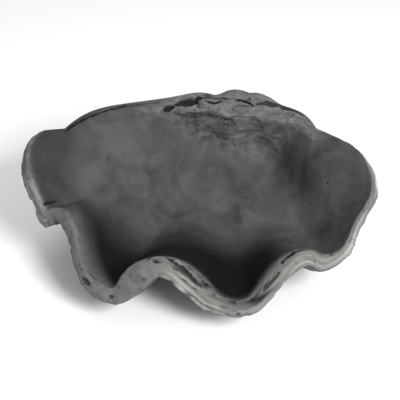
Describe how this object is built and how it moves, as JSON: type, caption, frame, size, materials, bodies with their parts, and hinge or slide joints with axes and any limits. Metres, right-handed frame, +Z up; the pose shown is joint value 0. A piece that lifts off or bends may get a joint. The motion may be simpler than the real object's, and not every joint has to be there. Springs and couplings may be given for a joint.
{
  "type": "giant clam half shell",
  "caption": "Single thick clam valve lying on its ribs, hollow side up, with deep radial folds and a wavy lip.",
  "frame": {"origin": "on the floor under the middle of the shell", "axes": "+X to the right along the hinge, +Y back towards the hinge, +Z up out of the hollow"},
  "size_m": [0.5998, 0.4648, 0.2069],
  "materials": {
    "weathered_shell": "matt charcoal-grey weathered shell, paler and worn along the lip, darker inside the hollow"
  },
  "bodies": {
    "root": {"shell": "weathered_shell"}
  },
  "joints": []
}
